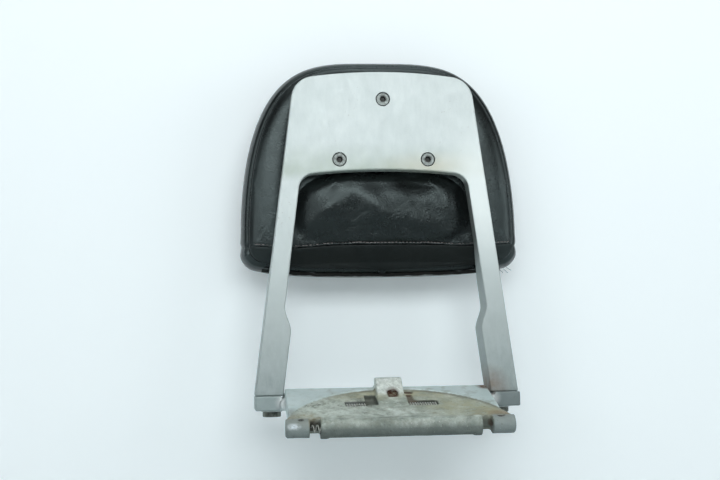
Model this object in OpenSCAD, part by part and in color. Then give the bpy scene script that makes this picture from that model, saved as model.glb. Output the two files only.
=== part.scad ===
// Motorcycle passenger backrest: a cast inverted-U frame on a tongue-shaped dock bracket,
// with a screwed-on padded cushion. Millimetres, +Z up, +Y towards the rider's side (cushion),
// -Y towards the tail. The origin is the middle of the dock bracket's rim bore.

/* [Frame] */
// Height of the frame above its feet
frame_h = 319; // [290:1:350]
// Half width of the frame at its feet
foot_half_w = 129.8; // [118:0.1:140]
// Half width of the frame below the upper corners
shoulder_half_w = 95.6; // [88:0.1:104]
// Height of the point where the upper corners start
shoulder_z = 260; // [245:1:275]
// Rise of the arched top edge over its half width
top_rise = 4.6; // [2:0.1:8]
// Radius of the upper corners
frame_corner_r = 24; // [16:1:30]
// Height of the window's upper edge at the middle
window_h = 220.8; // [205:0.1:232]
// Half width of the window at its upper corners
window_half_w = 84.7; // [78:0.1:90]
// Radius of the window's upper corners
window_corner_r = 16; // [8:1:22]
// Width of each arm above the step
arm_w = 18.8; // [15:0.1:24]
// Width of each arm below the step
lower_arm_w = 27.5; // [22:0.1:34]
// Height of the step on the arms' inner faces
step_z = 74; // [60:1:95]
// Length of the step along the arm
step_l = 26; // [16:1:34]
// Depth of the frame behind the cushion
frame_depth = 18; // [14:0.5:24]
// Depth of the arms just below the cushion
arm_depth = 30; // [24:0.5:36]
// Depth of the arms at their feet
foot_depth = 33; // [28:0.5:42]
// Thickness of the plate's web
web_t = 10; // [7:0.5:13]
// Width of the wall around the plate's relief
relief_wall = 9; // [6:0.5:14]

/* [Cushion screws] */
// Height of the top screw above the feet
screw_top_z = 291.4; // [284:0.1:296]
// Height of the lower pair of screws
screw_low_z = 230.9; // [228:0.1:240]
// Distance between the lower pair
screw_pitch = 88.4; // [70:0.1:110]
// Nominal diameter of the screws
screw_d = 8; // [6:0.5:10]
// Diameter of the screw heads
screw_head_d = 13; // [11:0.1:15]
// Height of the screw heads
screw_head_h = 5; // [4:0.1:5.5]
// Width across flats of the screws' socket
screw_socket_af = 5; // [4:0.5:6]
// Diameter of the counterbores
counterbore_d = 14.2; // [13.4:0.1:17]
// Depth of the counterbores
counterbore_depth = 5.6; // [5.2:0.1:6.2]
// Diameter of the boss around each screw
boss_d = 26; // [22:0.5:30]

/* [Dock bracket] */
// Slope of the bracket's deck
tilt = 16.7; // [10:0.1:22]
// Distance from the rim bore to the deck's upper edge, along the slope
deck_l = 91.3; // [80:0.1:105]
// Reach of the smooth part of the deck to the left of the middle
deck_left = 101.3; // [92:0.1:101.6]
// Reach of the smooth part of the deck to the right of the middle
deck_right = 97; // [90:0.1:101]
// Thickness of the deck
deck_t = 16; // [15:0.5:18]
// Diameter of the rolled rim
rim_d = 17; // [16:0.5:20]
// Half length of the rim
rim_half_l = 105.5; // [103:0.5:112]
// Diameter of the rim bore
rim_bore_d = 8; // [6:0.5:10]
// Radius of the half-moon field
moon_r = 110; // [104:0.5:116]
// Distance from the half-moon's top to the deck's upper edge
moon_gap = 5.5; // [3:0.5:10]
// How far the half-moon lies below the smooth part
moon_drop = 1.6; // [0.8:0.1:3]
// Distance from the middle to the inner wall of each rim notch
notch_x = 74; // [66:0.5:78]
// Width of each rim notch
notch_w = 10; // [8:0.5:14]
// Diameter of the end barrels
barrel_d = 16; // [14:0.5:17]
// Chamfer on the end barrels
barrel_chamfer = 1.4; // [0.5:0.1:2.5]
// Width of the collar beside each notch
collar_w = 6.5; // [4:0.5:9]
// How far the collars stand out from the rim
collar_rise = 0.9; // [0.4:0.1:2]
// Depth of the relief under the deck
under_relief = 6; // [4:0.5:7]
// Wall left around the relief under the deck
under_wall = 9; // [6:0.5:14]
// Thickness of the ribs under the deck and behind the plate
rib_t = 5; // [3:0.5:8]

/* [Latch post] */
// Width of the latch post
post_w = 26; // [22:0.5:30]
// Height of the post above the frame's feet
post_top = 15.8; // [12:0.1:20]
// Thickness of the post at its top
post_top_t = 10; // [7:0.5:14]
// Side of the square socket
socket_w = 10; // [8:0.5:12.7]
// Depth of the square socket
socket_depth = 12; // [6:0.5:14]
// Width of the pocket beside the post
pocket_w = 11.5; // [8:0.5:14]
// Depth of the pocket beside the post
pocket_depth = 8.4; // [6:0.1:9]
// Width of both latch slots across the deck, along the slope
slot_w = 15; // [12:0.5:18]
// Depth of the latch slots
slot_depth = 8.4; // [7.6:0.1:9]
// Length of the left latch slot
slot_left_l = 20; // [14:0.5:26]
// Length of the right latch slot
slot_right_l = 28; // [20:0.5:34]

/* [Springs] */
// Outer diameter of the latch springs
spring_d = 6; // [5:0.1:6.2]
// Wire diameter of the latch springs
spring_wire = 1.2; // [0.8:0.1:1.6]
// Pitch of the latch springs
spring_pitch = 2.4; // [2:0.1:4]
// Outer diameter of the rim spring
rim_spring_d = 7.4; // [5:0.1:7.6]
// Pitch of the rim spring
rim_spring_pitch = 4.6; // [3.5:0.1:6]

/* [Foot joints] */
// Height of the lugs under the arms
lug_h = 14; // [11:0.5:18]
// How far the lugs stand out behind the arms
lug_out = 8; // [4:0.5:12]
// Distance of the foot bolts from the middle
bolt_x = 113.2; // [110:0.1:118]
// Distance of the foot bolts from the arms' tail face
bolt_y = 14; // [12:0.5:20]
// Nominal diameter of the foot bolts
bolt_d = 10; // [8:0.5:12]
// Diameter of the foot bolts' heads
bolt_head_d = 18; // [15:0.5:19]
// Height of the foot bolts' heads
bolt_head_h = 5; // [4:0.5:8]
// Diameter of the washers
washer_d = 20.4; // [19:0.1:22]
// Thickness of the washers
washer_t = 1.5; // [1:0.1:2.5]
// Depth of the threaded holes in the feet
foot_hole_depth = 30; // [20:1:36]

/* [Cushion] */
// Half width of the cushion at its widest
pad_half_w = 141; // [130:0.5:150]
// Height of the cushion's top above the frame's feet
pad_top_z = 337; // [330:0.5:350]
// Height of the cushion's widest place
pad_wide_z = 154; // [150:0.5:165]
// Height of the cushion's lower edge
pad_low_z = 117; // [112:0.5:120]
// Radius of the cushion's lower corners
pad_corner_r = 17; // [12:0.5:24]
// Thickness of the cushion in front of the frame
pad_t = 68; // [58:1:80]
// Thickness of the cover
cover_t = 1.8; // [1.2:0.1:2.5]
// Height of the cross seam above the frame's feet
cross_seam_z = 148; // [144:0.5:152]
// How far the rear seam lies inside the widest outline
rear_seam_in = 7; // [4:0.5:10]
// How far the back panel bulges through the window
bulge = 7; // [3:0.5:9]
// Thickness of the board inside the cushion
board_t = 9; // [6:0.5:12]
// How far the board lies inside the cushion's outline
board_in = 32; // [31.5:0.5:33]
// Diameter of the tee nuts' flanges
tee_flange_d = 21; // [18:0.5:24]
// Diameter of the tee nuts' barrels
tee_barrel_d = 10.4; // [10:0.1:12]

/* [Fits] */
// Gap between soft parts and their neighbours
soft_gap = 0.3; // [0.2:0.05:0.5]
// Radial clearance around screws and bolts in plain holes
hole_gap = 0.5; // [0.3:0.1:0.8]
// Radial clearance of threads in their holes
thread_gap = 0.1; // [0.05:0.05:0.2]

/* [Hidden] */

$fn = 64;
past = 1;

rim_r = rim_d / 2;
deck_top = deck_t / 2;
back_y = deck_l * cos(tilt) - deck_top * sin(tilt);
deck_edge_z = deck_l * sin(tilt) + deck_top * cos(tilt);
moon_top = deck_top - moon_drop;
// Where the rim's round top has come down to the level of the half-moon
moon_start = sqrt(rim_r * rim_r - moon_top * moon_top);
// The deck's upper edge stands this far above the frame's feet
deck_over_foot = 6.9;
foot_z = deck_edge_z - deck_over_foot;

post_mid = -1;
post_face_angle = 43;
slot_y = 49;
notch_past_bore = 0.6;
recess_w = 6.5;
recess_l = 17;
recess_depth = 2.4;
side_notch_w = 9;
side_notch_l = 7.5;
side_notch_y = 16.5;
side_notch_depth = 5;

side_slope = (foot_half_w - shoulder_half_w) / shoulder_z;
side_angle = atan(side_slope);
outer_steps = 10;
lug_blend_r = 6;
plate_rib_pitch = 34;
deck_bays = 6;

screw_places = [
    [0, screw_top_z],
    [-screw_pitch / 2, screw_low_z],
    [screw_pitch / 2, screw_low_z]
];
pad_back = frame_depth + soft_gap;
board_back = pad_back + cover_t + soft_gap;
board_front = board_back + board_t;
tee_flange_t = 1.5;
screw_end = board_front + 5;

pad_front = frame_depth + pad_t;
widest_y = frame_depth + 0.47 * pad_t;
rear_seam_y = frame_depth + 0.2 * pad_t;
front_seam_y = frame_depth + 0.71 * pad_t;
// Powers of the cushion's rounded shoulder
top_power = 2.2;
side_power = 3.8;
// Insets and depths of the cushion's outer surface behind its rear seam
back_insets = [rear_seam_in, 12, 20, 28];
back_depths = [rear_seam_y, pad_back + 5, pad_back + 1.5, pad_back];
// Insets of the crowned front, and how far each has risen
front_insets = [3, 8, 18, 36, 60];
front_rises = [0, 0.45, 0.72, 0.92, 1];
// The band below the cross seam, and the hem under it
band_top_y = pad_back + 0.5;
band_low_y = arm_depth + 2;
hem_h = 5;

// Places a child in the frame's own system: X across, Y from the arms' tail face, Z from the feet.
module in_frame() {
    translate([0, back_y, foot_z]) children();
}

// Places a child in the deck's system: Y along the slope from the rim bore, Z square to the deck.
module in_deck() {
    rotate([tilt, 0, 0]) children();
}

// Stands a flat X-Z outline up and gives it a depth along +Y from y0.
module upright(y0, depth) {
    translate([0, y0 + depth, 0]) rotate([90, 0, 0]) linear_extrude(depth) children();
}

// Lays a Y-Z profile across X, centred, with the given width.
module across(width) {
    rotate([90, 0, 90]) linear_extrude(width, center = true) children();
}

function arc(centre, r, from, to, steps) = [
    for (i = [0:steps])
        let (a = from + (to - from) * i / steps)
        [centre[0] + r * cos(a), centre[1] + r * sin(a)]
];

function mirrored(points) = [
    for (i = [len(points) - 1:-1:0]) [-points[i][0], points[i][1]]
];

// Half width of the frame's straight side at height z
function side_x(z) = foot_half_w - side_slope * z;

// Right half of the frame's outer outline, from the foot to the middle of the top edge
function outer_half() =
    let (
        corner_z = frame_h - top_rise - frame_corner_r,
        corner_x = side_x(corner_z + frame_corner_r * sin(side_angle)) - frame_corner_r * cos(side_angle),
        corner_top = corner_z + frame_corner_r * sin(90 - side_angle)
    )
    concat(
        [[foot_half_w, 0]],
        arc([corner_x, corner_z], frame_corner_r, side_angle, 90 - side_angle, 12),
        [
            for (i = [1:outer_steps])
                let (
                    x0 = corner_x + frame_corner_r * cos(90 - side_angle),
                    x = x0 * (1 - i / outer_steps),
                    t = x / x0
                )
                [x, frame_h - (frame_h - corner_top) * t * t]
        ]
    );

// Inner half width of the window at height z: slim arms above the step, wide arms below it
function inner_x(z) =
    let (
        t = min(max((z - (step_z - step_l / 2)) / step_l, 0), 1),
        s = t * t * (3 - 2 * t)
    )
    side_x(z) - lower_arm_w * (1 - s) - arm_w * s;

// Right half of the window's outline, from below the feet to the middle of its upper edge
function window_half() =
    let (
        low = step_z - step_l / 2,
        corner_x = window_half_w - window_corner_r,
        corner_z = window_h - 3.6 - window_corner_r
    )
    concat(
        [[inner_x(0) + side_slope * past, -past], [inner_x(low), low]],
        [for (i = [1:8]) let (z = low + step_l * i / 8) [inner_x(z), z]],
        arc([corner_x, corner_z], window_corner_r, side_angle, 90 - side_angle / 2, 10),
        [
            for (i = [1:6])
                let (
                    x0 = corner_x + window_corner_r * cos(90 - side_angle / 2),
                    z0 = corner_z + window_corner_r * sin(90 - side_angle / 2),
                    t = 1 - i / 6
                )
                [x0 * t, window_h - (window_h - z0) * t * t]
        ]
    );

module frame_outline() {
    half = outer_half();
    polygon(concat(half, mirrored([for (i = [0:len(half) - 2]) half[i]])));
}

module window_outline() {
    half = window_half();
    polygon(concat(half, mirrored([for (i = [0:len(half) - 2]) half[i]])));
}

// Side profile of the frame: thin behind the cushion, deeper arms below it
module frame_side() {
    polygon([
        [0, 0], [foot_depth, 0], [arm_depth, pad_low_z - 5], [frame_depth, cross_seam_z - 2],
        [frame_depth, frame_h + past], [0, frame_h + past]
    ]);
}

// Relief on the hidden side of the plate, with ribs and with bosses around the screws
module plate_relief() {
    low = window_h + relief_wall;
    high = frame_h - top_rise - relief_wall;
    half_low = side_x(low) - relief_wall;
    half_high = side_x(high) - relief_wall - frame_corner_r / 2;
    difference() {
        upright(web_t, frame_depth - web_t + past)
            polygon([
                [-half_low, low], [half_low, low], [side_x(frame_h - 35) - relief_wall, frame_h - 35],
                [half_high, high], [-half_high, high], [relief_wall - side_x(frame_h - 35), frame_h - 35]
            ]);
        for (place = screw_places)
            translate([place[0], web_t - past, place[1]]) rotate([-90, 0, 0])
                cylinder(d = boss_d, h = frame_depth);
        for (i = [-2:2])
            translate([i * plate_rib_pitch - rib_t / 2, web_t - past, low - past])
                cube([rib_t, frame_depth, high - low + 2 * past]);
        translate([-foot_half_w, web_t - past, (low + high - rib_t) / 2])
            cube([2 * foot_half_w, frame_depth, rib_t]);
    }
}

module screw_cuts() {
    for (place = screw_places)
        translate([place[0], 0, place[1]]) rotate([-90, 0, 0]) {
            translate([0, 0, -past]) cylinder(d = counterbore_d, h = counterbore_depth + past);
            cylinder(d = screw_d + 2 * hole_gap, h = frame_depth + past);
        }
}

module backrest_frame() {
    color([0.66, 0.69, 0.69]) in_frame() difference() {
        intersection() {
            upright(0, foot_depth) difference() {
                frame_outline();
                window_outline();
            }
            across(2 * foot_half_w + 2 * past) frame_side();
        }
        plate_relief();
        screw_cuts();
        for (side = [-1, 1])
            translate([side * bolt_x, bolt_y, -past])
                cylinder(d = bolt_d + 2 * thread_gap, h = foot_hole_depth + past);
    }
}

// Outline of the deck seen square to its slope: straight flanks that run into the half-moon
module deck_outline() {
    translate([-deck_left, 0]) square([deck_left + deck_right, deck_l]);
    moon_field(0, 0);
}

// Segment of a circle above the line at y = start
module moon_field(grow, start) {
    intersection() {
        translate([0, deck_l - moon_gap - moon_r]) circle(r = moon_r + grow, $fn = 160);
        translate([-rim_half_l - grow, start]) square([2 * rim_half_l + 2 * grow, deck_l]);
    }
}

// Right half of the rim's turned profile: bar, collar beside the notch, chamfered end barrel
function rim_half() = [
    [rim_r, notch_x - collar_w], [rim_r + collar_rise, notch_x - collar_w],
    [rim_r + collar_rise, notch_x], [rim_r, notch_x], [rim_r, notch_x + notch_w],
    [barrel_d / 2, notch_x + notch_w], [barrel_d / 2, rim_half_l - barrel_chamfer],
    [barrel_d / 2 - barrel_chamfer, rim_half_l], [0, rim_half_l]
];

module rim_bar() {
    half = rim_half();
    low = [for (i = [len(half) - 1:-1:0]) [half[i][0], -half[i][1]]];
    rotate([0, 90, 0]) rotate_extrude() polygon(concat(low, half));
}

module deck_body() {
    difference() {
        union() {
            translate([0, 0, -deck_top]) linear_extrude(deck_t) deck_outline();
            rim_bar();
        }
        translate([0, 0, moon_top]) linear_extrude(moon_drop + past) moon_field(0.3, moon_start);
        translate([0, 0, -deck_top - past]) linear_extrude(under_relief + past) relief_outline();
        for (side = [-1, 1]) rim_notch(side);
        rotate([0, 90, 0]) cylinder(d = rim_bore_d, h = 2 * rim_half_l + 2 * past, center = true);
        latch_cuts();
    }
}

// Pockets under the deck between its walls and ribs
module relief_outline() {
    low = rim_r + under_wall;
    high = deck_l - under_wall;
    span = deck_left + deck_right - 2 * under_wall;
    bay_w = (span - (deck_bays - 1) * rib_t) / deck_bays;
    for (i = [0:deck_bays - 1])
        translate([under_wall - deck_left + i * (bay_w + rib_t), low]) square([bay_w, high - low]);
}

// Cut through the rim past its bore, so that each end barrel has a bore of its own
module rim_notch(side) {
    back = rim_bore_d / 2 + notch_past_bore;
    mid = side * (notch_x + notch_w / 2);
    translate([mid - notch_w / 2, 0, 0]) across_notch() polygon([
        [-rim_r - past, -rim_r - past], [rim_r, -rim_r - past], [rim_r, -rim_r / 2],
        [back, -rim_r / 2], [back, rim_r + past], [-rim_r - past, rim_r + past]
    ]);
}

module across_notch() {
    rotate([90, 0, 90]) linear_extrude(notch_w) children();
}

// Pockets and slots around the latch post, cut down from the deck's top
module latch_cuts() {
    left = post_mid - post_w / 2;
    right = post_mid + post_w / 2;
    low = slot_y - slot_w / 2;
    // Pocket on the left of the post, then the two slots for the latch springs
    translate([left - pocket_w - 1, low + 3, deck_top - pocket_depth])
        cube([pocket_w, 30, pocket_depth + past]);
    translate([left - pocket_w - 1 - slot_left_l, low, deck_top - slot_depth])
        cube([slot_left_l + past, slot_w, slot_depth + past]);
    translate([right + 2, low, deck_top - slot_depth])
        cube([slot_right_l, slot_w, slot_depth + past]);
    // Shallow recess and small notch on the right of the post
    translate([right + 2, low + slot_w - past, moon_top - recess_depth])
        cube([recess_w, recess_l + past, recess_depth + moon_drop + past]);
    translate([right + 1, deck_l - side_notch_y, deck_top - side_notch_depth])
        cube([side_notch_w, side_notch_l, side_notch_depth + past]);
}

// Side profile of the latch post in the frame's system: upright tail end, sloped face
module latch_post() {
    difference() {
        translate([post_mid, 0, 0]) across(post_w) polygon([
            [1, 1], [1, post_top], [1 - post_top_t, post_top + 0.6], [-12, post_top - 2],
            [-28, post_top - 17.5], [-42, -7.2], [-42, -10.5]
        ]);
        translate([post_mid + 2, -25.2, post_top - 14.6]) rotate([-post_face_angle, 0, 0])
            translate([-socket_w / 2, -6 * past, -socket_w / 2])
                cube([socket_w, socket_depth + 6 * past, socket_w]);
    }
}

module lug(side) {
    inner = inner_x(0) + 2;
    deck_end = side > 0 ? deck_right : deck_left;
    difference() {
        union() {
            translate([side > 0 ? inner : -foot_half_w, -lug_out, -lug_h])
                cube([foot_half_w - inner, foot_depth + lug_out, lug_h]);
            translate([side * (deck_end - 1), -lug_out - lug_blend_r, lug_blend_r - lug_h])
                rotate([-90, 0, 0]) cylinder(r = lug_blend_r, h = foot_depth + lug_out + lug_blend_r);
            translate([side > 0 ? deck_end - 4 : -inner - past, 1 - lug_out, -lug_h])
                cube([inner - deck_end + 4 + past, foot_depth + lug_out - 1, lug_h - 2.5]);
        }
        translate([side * bolt_x, bolt_y, -lug_h - past])
            cylinder(d = bolt_d + 2 * hole_gap, h = lug_h + 2 * past);
    }
}

module dock_bracket() {
    color([0.58, 0.6, 0.56]) {
        in_deck() deck_body();
        in_frame() {
            latch_post();
            for (side = [-1, 1]) lug(side);
            // Cross beam behind the deck's upper edge
            translate([-deck_left, -4, -lug_h])
                cube([deck_left + deck_right, foot_depth, lug_h + 2]);
        }
    }
}

// Bolt from below through the lug into the arm's foot
module foot_bolt(side) {
    color([0.3, 0.31, 0.31]) in_frame() translate([side * bolt_x, bolt_y, -lug_h - washer_t]) {
        difference() {
            translate([0, 0, -bolt_head_h]) cylinder(d = bolt_head_d, h = bolt_head_h);
            translate([0, 0, -bolt_head_h - past])
                cylinder(d = 8 / cos(30), h = bolt_head_h / 2 + past, $fn = 6);
        }
        cylinder(d = bolt_d, h = washer_t + lug_h + foot_hole_depth - 3);
    }
}

module foot_bolt_left() { foot_bolt(-1); }
module foot_bolt_right() { foot_bolt(1); }

module foot_washer(side) {
    color([0.62, 0.64, 0.64]) in_frame() translate([side * bolt_x, bolt_y, -lug_h - washer_t])
        difference() {
            cylinder(d = washer_d, h = washer_t);
            translate([0, 0, -past]) cylinder(d = bolt_d + 2 * hole_gap, h = washer_t + 2 * past);
        }
}

module foot_washer_left() { foot_washer(-1); }
module foot_washer_right() { foot_washer(1); }

// Coil spring along +X from the origin, swept as one closed tube
module coil_spring(outer_d, wire, pitch, length) {
    sides = 6;
    per_turn = 10;
    coil_r = (outer_d - wire) / 2;
    travel = length - wire;
    turns = travel / pitch;
    rings = ceil(turns * per_turn);
    points = [
        for (i = [0:rings])
            let (a = 360 * turns * i / rings, x = wire / 2 + travel * i / rings)
            for (k = [0:sides - 1])
                let (b = 360 * k / sides, r = coil_r + wire / 2 * cos(b))
                [x + wire / 2 * sin(b), r * cos(a), r * sin(a)]
    ];
    faces = concat(
        [[for (k = [sides - 1:-1:0]) k]],
        [
            for (i = [0:rings - 1]) for (k = [0:sides - 1])
                let (n = (k + 1) % sides, a = i * sides, b = (i + 1) * sides)
                each [[a + k, a + n, b + n], [a + k, b + n, b + k]]
        ],
        [[for (k = [0:sides - 1]) rings * sides + k]]
    );
    polyhedron(points, faces, convexity = 6);
}

module latch_spring_left() {
    color([0.45, 0.46, 0.46]) in_deck()
        translate([post_mid - post_w / 2 - pocket_w - 1 - slot_left_l + 0.5, slot_y,
            deck_top - slot_depth + spring_d / 2 + soft_gap])
            coil_spring(spring_d, spring_wire, spring_pitch, slot_left_l - 1);
}

module latch_spring_right() {
    color([0.45, 0.46, 0.46]) in_deck()
        translate([post_mid + post_w / 2 + 2.5, slot_y, deck_top - slot_depth + spring_d / 2 + soft_gap])
            coil_spring(spring_d, spring_wire, spring_pitch, slot_right_l - 1);
}

module rim_spring() {
    color([0.5, 0.48, 0.42]) in_deck()
        translate([-notch_x - notch_w + 1.2, 0, 0])
            coil_spring(rim_spring_d, spring_wire, rim_spring_pitch, notch_w + 12);
}

// Low-head screw with its head in the plate's counterbore
module cushion_screw(place) {
    head_y = counterbore_depth - screw_head_h;
    color([0.55, 0.57, 0.56]) in_frame() translate([place[0], head_y, place[1]])
        rotate([-90, 0, 0]) difference() {
            union() {
                cylinder(d = screw_head_d, h = screw_head_h);
                cylinder(d = screw_d, h = screw_end - head_y);
            }
            translate([0, 0, -past])
                cylinder(d = screw_socket_af / cos(30), h = screw_head_h / 2 + past, $fn = 6);
        }
}

module cushion_screw_top() { cushion_screw(screw_places[0]); }
module cushion_screw_left() { cushion_screw(screw_places[1]); }
module cushion_screw_right() { cushion_screw(screw_places[2]); }

// Tee nut pressed into the front of the board
module tee_nut(place) {
    color([0.7, 0.7, 0.66]) in_frame() translate([place[0], board_back + soft_gap, place[1]])
        rotate([-90, 0, 0]) difference() {
            union() {
                cylinder(d = tee_barrel_d, h = board_t);
                translate([0, 0, board_t - soft_gap]) cylinder(d = tee_flange_d, h = tee_flange_t);
            }
            translate([0, 0, -past])
                cylinder(d = screw_d + 2 * thread_gap, h = board_t + tee_flange_t + 2 * past);
        }
}

module tee_nut_top() { tee_nut(screw_places[0]); }
module tee_nut_left() { tee_nut(screw_places[1]); }
module tee_nut_right() { tee_nut(screw_places[2]); }

// Right half of the cushion's outline, set in by a distance, from the bottom middle to the top
// middle: a gently raised lower edge, a round corner, and a long rounded shoulder.
function pad_half(inset) =
    let (
        w = pad_half_w - inset,
        low = pad_low_z + inset,
        r = max(pad_corner_r - inset * 0.3, 6),
        raise = 7,
        corner_z = low + raise + r,
        high = pad_top_z - inset,
        wide = max(pad_wide_z, corner_z + 2)
    )
    concat(
        [for (x = [0, 0.3, 0.6, 0.85]) [(w - r) * x, low + raise * pow(x, 3) * 0.8]],
        arc([w - r, corner_z], r, -80, 0, 6),
        [
            for (i = [1:18])
                let (
                    a = 90 * i / 18,
                    z = wide + (high - wide) * pow(sin(a), 2 / top_power),
                    x = w * pow(max(cos(a), 0), 2 / side_power)
                )
                [x, z]
        ]
    );

function pad_ring(inset) =
    let (half = pad_half(inset), last = len(half) - 1)
    concat(half, [for (i = [last - 1:-1:1]) [-half[i][0], half[i][1]]]);

function placed_ring(inset, y) = [for (p = pad_ring(inset)) [p[0], y, p[1]]];

// Closed skin through rings of equal length, wound to face outward when Y rises
module loft(rings) {
    n = len(rings[0]);
    last = len(rings) - 1;
    polyhedron(
        [for (ring = rings) for (p = ring) p],
        concat(
            [[for (k = [n - 1:-1:0]) k]],
            [
                for (i = [0:last - 1]) for (k = [0:n - 1])
                    let (m = (k + 1) % n, a = i * n, b = (i + 1) * n)
                    each [[a + k, a + m, b + m], [a + k, b + m, b + k]]
            ],
            [[for (k = [0:n - 1]) last * n + k]]
        ),
        convexity = 6
    );
}

// Closed belt: the rings run around a cross section and the last one meets the first
module belt(rings) {
    n = len(rings[0]);
    count = len(rings);
    polyhedron(
        [for (ring = rings) for (p = ring) p],
        [
            for (i = [0:count - 1]) for (k = [0:n - 1])
                let (m = (k + 1) % n, a = i * n, b = ((i + 1) % count) * n)
                each [[a + k, a + m, b + m], [a + k, b + m, b + k]]
        ],
        convexity = 6
    );
}

// Closed dish: outer rings from the rim to the middle, then inner rings back to the rim
module dish(outer, inner) {
    n = len(outer[0]);
    rings = concat(outer, inner);
    count = len(rings);
    middle = len(outer) - 1;
    polyhedron(
        [for (ring = rings) for (p = ring) p],
        concat(
            [
                for (i = [0:count - 1]) if (i != middle) for (k = [0:n - 1])
                    let (m = (k + 1) % n, a = i * n, b = ((i + 1) % count) * n)
                    each [[a + k, a + m, b + m], [a + k, b + m, b + k]]
            ],
            [[for (k = [0:n - 1]) middle * n + k]],
            [[for (k = [n - 1:-1:0]) (middle + 1) * n + k]]
        ),
        convexity = 6
    );
}

// The first ring keeps its depth, so that the seam's edge stays flat
function back_rings(inward, forward) = [
    for (i = [0:len(back_insets) - 1])
        placed_ring(back_insets[i] + inward, back_depths[i] + (i > 0 ? forward : 0))
];

function backwards(list) = [for (i = [len(list) - 1:-1:0]) list[i]];

// Lens that the soft back pushes out through the frame's window, reaching forward to y + reach
module window_bulge(shrink, y, reach) {
    low = cross_seam_z + 4 + shrink;
    high = window_h - 8 - shrink;
    half_w = window_half_w - 9 - shrink;
    mid_z = (low + high) / 2;
    half_h = (high - low) / 2;
    translate([0, 0, mid_z]) loft([
        for (step = [[0.35, bulge], [0.7, bulge * 0.8], [0.9, bulge * 0.4], [1, 0], [1, -reach]])
            [
                for (i = [0:31])
                    let (
                        a = 360 * i / 32,
                        c = cos(a),
                        s = sin(a)
                    )
                    [
                        half_w * step[0] * sign(c) * pow(abs(c), 0.5), y - step[1],
                        half_h * step[0] * sign(s) * pow(abs(s), 0.5)
                    ]
            ]
    ]);
}

module below_seam(z) {
    translate([-pad_half_w - past, -past, 0]) cube([2 * pad_half_w + 2 * past, pad_front, z]);
}

module cover_back_panel() {
    color([0.07, 0.07, 0.075]) in_frame() difference() {
        union() {
            difference() {
                dish(back_rings(cover_t, cover_t), backwards(back_rings(0, 0)));
                below_seam(cross_seam_z);
            }
            window_bulge(0, pad_back, cover_t / 2);
        }
        window_bulge(cover_t, pad_back + cover_t, past);
        for (place = screw_places)
            translate([place[0], 0, place[1]]) rotate([-90, 0, 0])
                cylinder(d = screw_d + 2 * hole_gap, h = board_front);
    }
}

module rear_foam() {
    color([0.75, 0.7, 0.5]) in_frame() intersection() {
        window_bulge(cover_t + soft_gap, pad_back + cover_t + soft_gap, past);
        translate([-pad_half_w, 0, 0]) cube([2 * pad_half_w, board_back - soft_gap, pad_top_z]);
    }
}

module cover_side_panel() {
    outer = [
        [rear_seam_in, rear_seam_y + soft_gap], [2, (rear_seam_y + widest_y) / 2],
        [0, widest_y], [0.6, (widest_y + front_seam_y) / 2], [3, front_seam_y]
    ];
    count = len(outer) - 1;
    color([0.07, 0.07, 0.075]) in_frame() belt(concat(
        [for (p = outer) placed_ring(p[0], p[1])],
        [for (i = [count:-1:0]) placed_ring(outer[i][0] + cover_t, outer[i][1])]
    ));
}

function front_rings(inward, drop) =
    let (y0 = front_seam_y + soft_gap, rise = pad_front - y0 - drop)
    [
        for (i = [0:len(front_insets) - 1])
            placed_ring(front_insets[i] + inward, y0 + rise * front_rises[i])
    ];

module cover_front_panel() {
    color([0.07, 0.07, 0.075]) in_frame()
        dish(front_rings(0, 0), backwards(front_rings(cover_t, cover_t)));
}

// Board outline: inside the cushion, and narrower than the window where the arms are deep
module board_outline() {
    difference() {
        polygon(pad_ring(board_in));
        translate([-pad_half_w, 0]) square([2 * pad_half_w, cross_seam_z + 10]);
    }
}

module cushion_board() {
    color([0.7, 0.55, 0.35]) in_frame() difference() {
        upright(board_back, board_t) board_outline();
        for (place = screw_places)
            translate([place[0], board_back - past, place[1]]) rotate([-90, 0, 0])
                cylinder(d = tee_barrel_d + 2 * thread_gap, h = board_t + 2 * past);
    }
}

module foam_core() {
    gap = cover_t + soft_gap;
    side = cover_t + 2 * soft_gap;
    color([0.75, 0.7, 0.5]) in_frame() difference() {
        loft([
            placed_ring(28 + side, board_back), placed_ring(20 + side, pad_back + 1.5 + gap),
            placed_ring(12 + side, pad_back + 5 + gap), placed_ring(rear_seam_in + side, rear_seam_y + gap),
            placed_ring(side, widest_y), placed_ring(3 + side, front_seam_y),
            placed_ring(20 + side, front_seam_y + 9), placed_ring(44 + side, pad_front - gap - 3)
        ]);
        upright(0, board_front + soft_gap) polygon(pad_ring(board_in - soft_gap));
        below_bottom_band(cover_t + soft_gap);
        for (place = screw_places)
            translate([place[0], board_front - past, place[1]]) rotate([-90, 0, 0])
                cylinder(d = tee_flange_d + 2, h = screw_end - board_front + 3);
    }
}

// Everything behind the band that closes the cushion below the cross seam
module below_bottom_band(extra) {
    across(2 * pad_half_w + 2 * past) polygon([
        [-past, 0], [-past, cross_seam_z], [band_top_y + extra, cross_seam_z],
        [band_low_y + extra, pad_low_z + hem_h], [band_low_y + extra, 0]
    ]);
}

module band_profile() {
    polygon([
        [band_top_y, cross_seam_z - soft_gap], [band_top_y + cover_t, cross_seam_z - soft_gap],
        [band_low_y + cover_t, pad_low_z + hem_h], [band_low_y, pad_low_z + hem_h]
    ]);
}

module cover_bottom_band() {
    color([0.06, 0.06, 0.065]) in_frame() intersection() {
        across(2 * pad_half_w) band_profile();
        upright(0, pad_front) polygon(pad_ring(rear_seam_in + cover_t + soft_gap));
    }
}

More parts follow.
